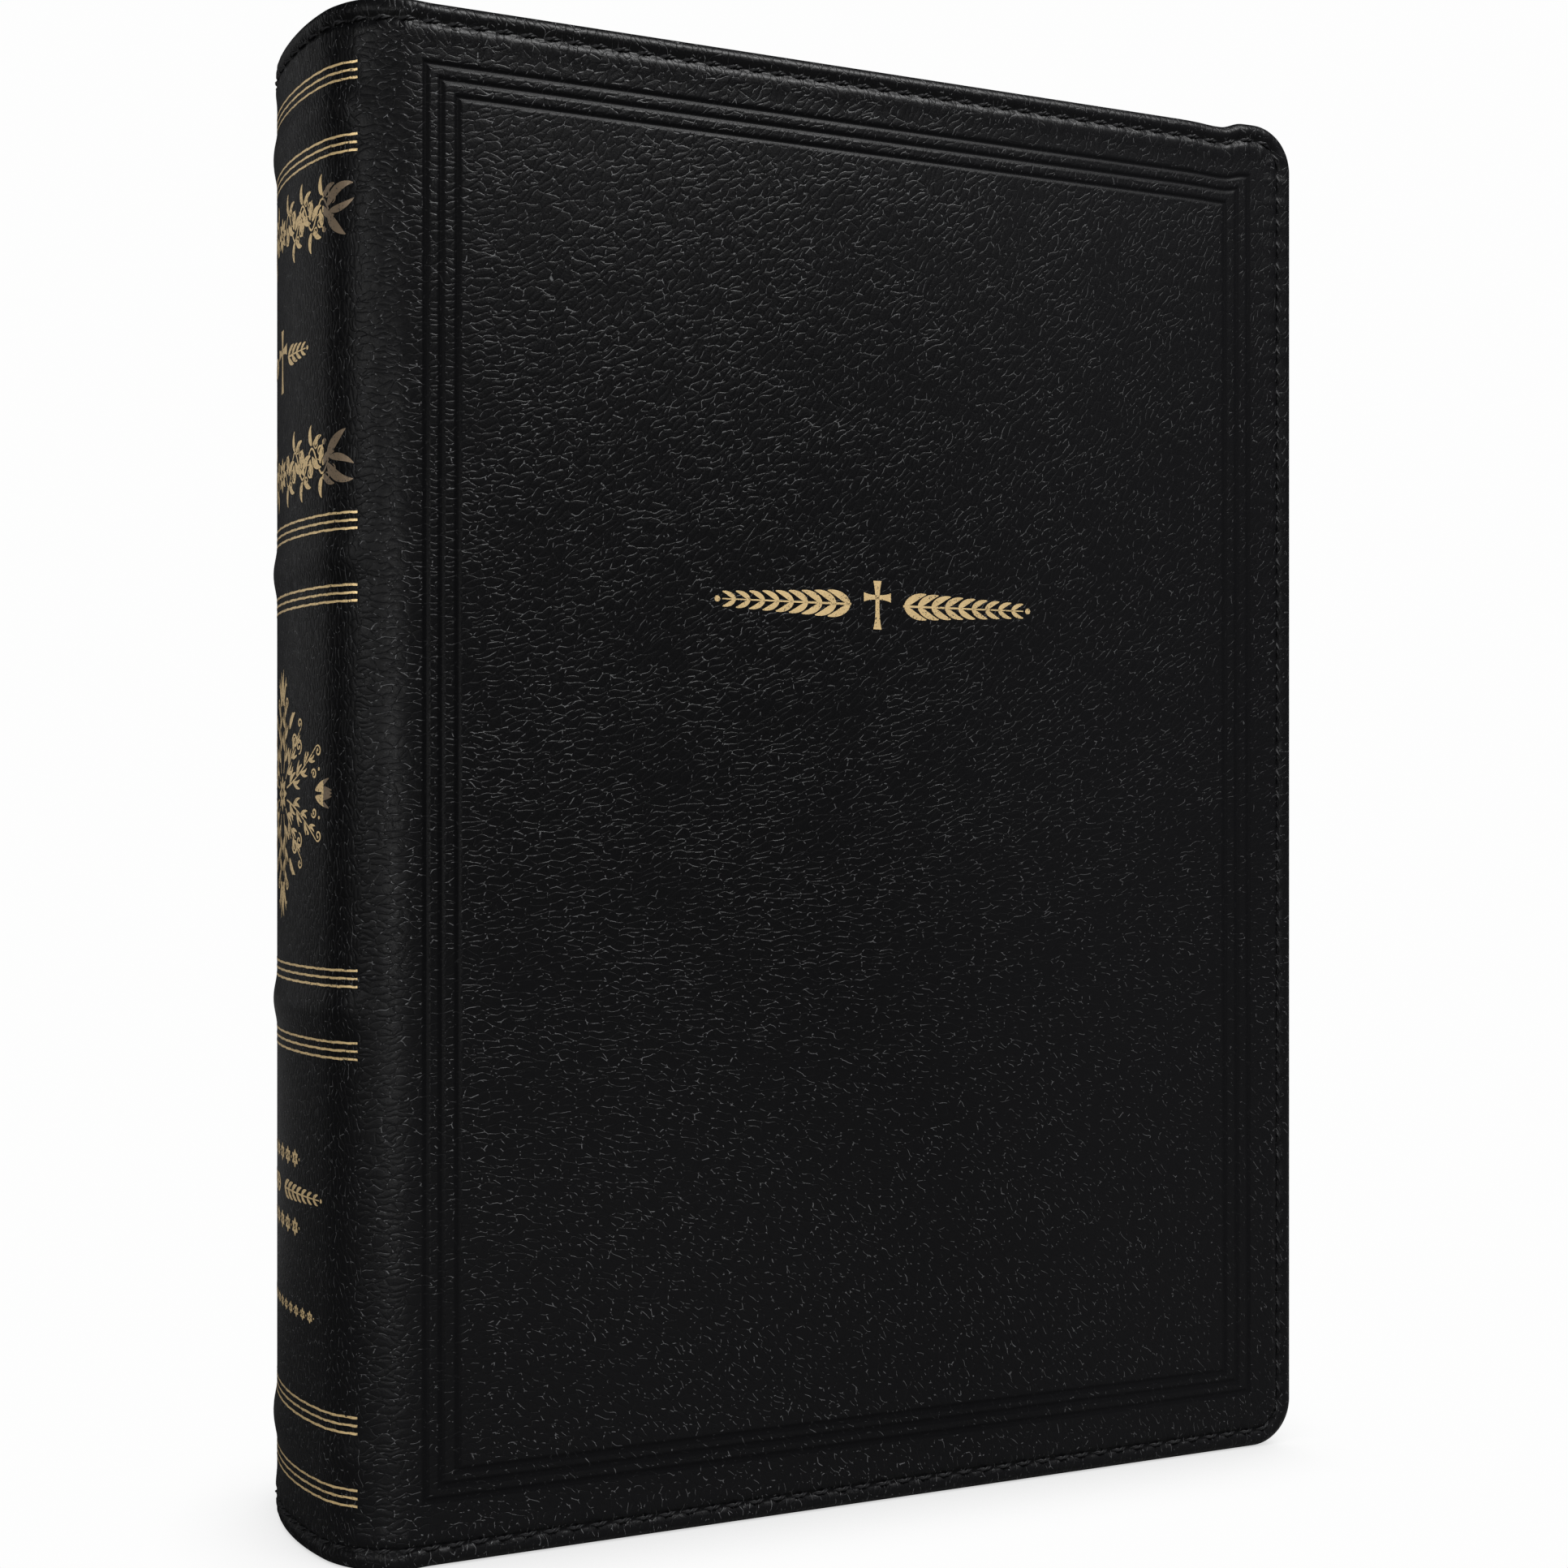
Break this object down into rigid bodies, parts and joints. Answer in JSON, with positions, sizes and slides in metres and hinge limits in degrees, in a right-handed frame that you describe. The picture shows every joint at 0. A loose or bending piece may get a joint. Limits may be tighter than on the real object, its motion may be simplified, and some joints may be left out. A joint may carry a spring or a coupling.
{
  "type": "leather-bound bible",
  "caption": "Thick black leather-bound bible with a raised-band spine, limp padded covers, stitched edges and a text block that opens in the middle.",
  "frame": {"origin": "centre of the bounding box's bottom face, with the book standing on its tail edge", "axes": "+Z from tail to head, +X from the spine to the fore-edge, front cover facing -Y"},
  "size_m": [0.1856, 0.056, 0.248],
  "materials": {
    "leather": "black pebbled leather, fine natural grain, soft satin sheen",
    "thread": "black twisted polyester thread",
    "liner": "smooth black leather-look liner",
    "board": "thin flexible board",
    "padding": "thin foam padding",
    "cord": "twisted cotton cord",
    "paper": "thin bible paper with gilt edges",
    "endpaper": "black coated endpaper",
    "lining": "glued mull and kraft paper",
    "headband": "gold and black woven band",
    "ribbon": "satin ribbon",
    "gilt": "stamped gold foil"
  },
  "bodies": {
    "spine": {"spine_leather": "leather", "spine_inlay": "board", "raised_band_cords": "cord", "spine_stitching": "thread"},
    "front_joint": {"front_joint_leather": "leather", "front_joint_stitching": "thread"},
    "front_cover": {"front_cover_leather": "leather", "front_cover_padding": "padding", "front_cover_board": "board", "front_cover_liner": "liner", "front_cover_stitching": "thread"},
    "back_joint": {"back_joint_leather": "leather", "back_joint_stitching": "thread"},
    "back_cover": {"back_cover_leather": "leather", "back_cover_padding": "padding", "back_cover_board": "board", "back_cover_liner": "liner", "back_cover_stitching": "thread"},
    "block_back": {"block_back": "paper", "block_lining": "lining", "headband": "headband", "tailband": "headband"},
    "section_1": {"section_1": "paper"},
    "section_2": {"section_2": "paper"},
    "section_3": {"section_3": "paper", "ribbon_marker": "ribbon"},
    "section_4": {"section_4": "paper"},
    "section_5": {"section_5": "paper"},
    "section_6": {"section_6": "paper"},
    "front_flyleaf": {"front_flyleaf": "endpaper"},
    "back_flyleaf": {"back_flyleaf": "endpaper"}
  },
  "joints": [
    {"name": "front_joint_fold", "type": "hinge", "parent": "spine", "child": "front_joint", "pos_m": [-0.08428, -0.02443, 0], "axis": [0, 0, -1], "range_deg": [0, 90.1]},
    {"name": "back_joint_fold", "type": "hinge", "parent": "spine", "child": "back_joint", "pos_m": [-0.08428, 0.02443, 0], "axis": [0, 0, 1], "range_deg": [0, 90.1]},
    {"name": "front_cover_hinge", "type": "hinge", "parent": "front_joint", "child": "front_cover", "pos_m": [-0.07368, -0.028, 0], "axis": [0, 0, -1], "range_deg": [0, 85]},
    {"name": "back_cover_hinge", "type": "hinge", "parent": "back_joint", "child": "back_cover", "pos_m": [-0.07368, 0.028, 0], "axis": [0, 0, 1], "range_deg": [0, 85]},
    {"name": "block_back_rise", "type": "slide", "parent": "spine", "child": "block_back", "axis": [1, 0, 0], "range_m": [0, 0.02465], "deforming": ["block_back", "block_lining", "headband", "tailband"]},
    {"name": "book_open", "type": "hinge", "parent": "block_back", "child": "section_1", "pos_m": [-0.08414, -0.00247, 0], "axis": [0, 0, -1], "range_deg": [0, 90]},
    {"name": "section_2_turn", "type": "hinge", "parent": "block_back", "child": "section_2", "pos_m": [-0.08292, -0.00125, 0], "axis": [0, 0, -1], "range_deg": [0, 90.1]},
    {"name": "section_3_turn", "type": "hinge", "parent": "block_back", "child": "section_3", "pos_m": [-0.08168, 0, 0], "axis": [0, 0, -1], "range_deg": [0, 90.1]},
    {"name": "section_4_turn", "type": "hinge", "parent": "block_back", "child": "section_4", "pos_m": [-0.08168, 0, 0], "axis": [0, 0, 1], "range_deg": [0, 90.1]},
    {"name": "section_5_turn", "type": "hinge", "parent": "block_back", "child": "section_5", "pos_m": [-0.08292, 0.00125, 0], "axis": [0, 0, 1], "range_deg": [0, 90.1]},
    {"name": "section_6_turn", "type": "hinge", "parent": "block_back", "child": "section_6", "pos_m": [-0.08414, 0.00247, 0], "axis": [0, 0, 1], "range_deg": [0, 90.1]},
    {"name": "front_flyleaf_lift", "type": "hinge", "parent": "section_1", "child": "front_flyleaf", "pos_m": [-0.06468, -0.02465, 0], "axis": [0, 0, -1], "range_deg": [0, 12]},
    {"name": "back_flyleaf_lift", "type": "hinge", "parent": "section_6", "child": "back_flyleaf", "pos_m": [-0.06468, 0.02465, 0], "axis": [0, 0, 1], "range_deg": [0, 12]}
  ],
  "couplings": [
    {"joint": "front_joint_fold", "follows": "book_open", "ratio": 1},
    {"joint": "back_joint_fold", "follows": "book_open", "ratio": 1},
    {"joint": "block_back_rise", "follows": "book_open", "m_per_rad": 0.015661},
    {"joint": "section_2_turn", "follows": "book_open", "ratio": 1},
    {"joint": "section_3_turn", "follows": "book_open", "ratio": 1},
    {"joint": "section_4_turn", "follows": "book_open", "ratio": 1},
    {"joint": "section_5_turn", "follows": "book_open", "ratio": 1},
    {"joint": "section_6_turn", "follows": "book_open", "ratio": 1},
    {"joint": "front_flyleaf_lift", "follows": "front_cover_hinge", "ratio": 0.14},
    {"joint": "back_flyleaf_lift", "follows": "back_cover_hinge", "ratio": 0.14}
  ]
}
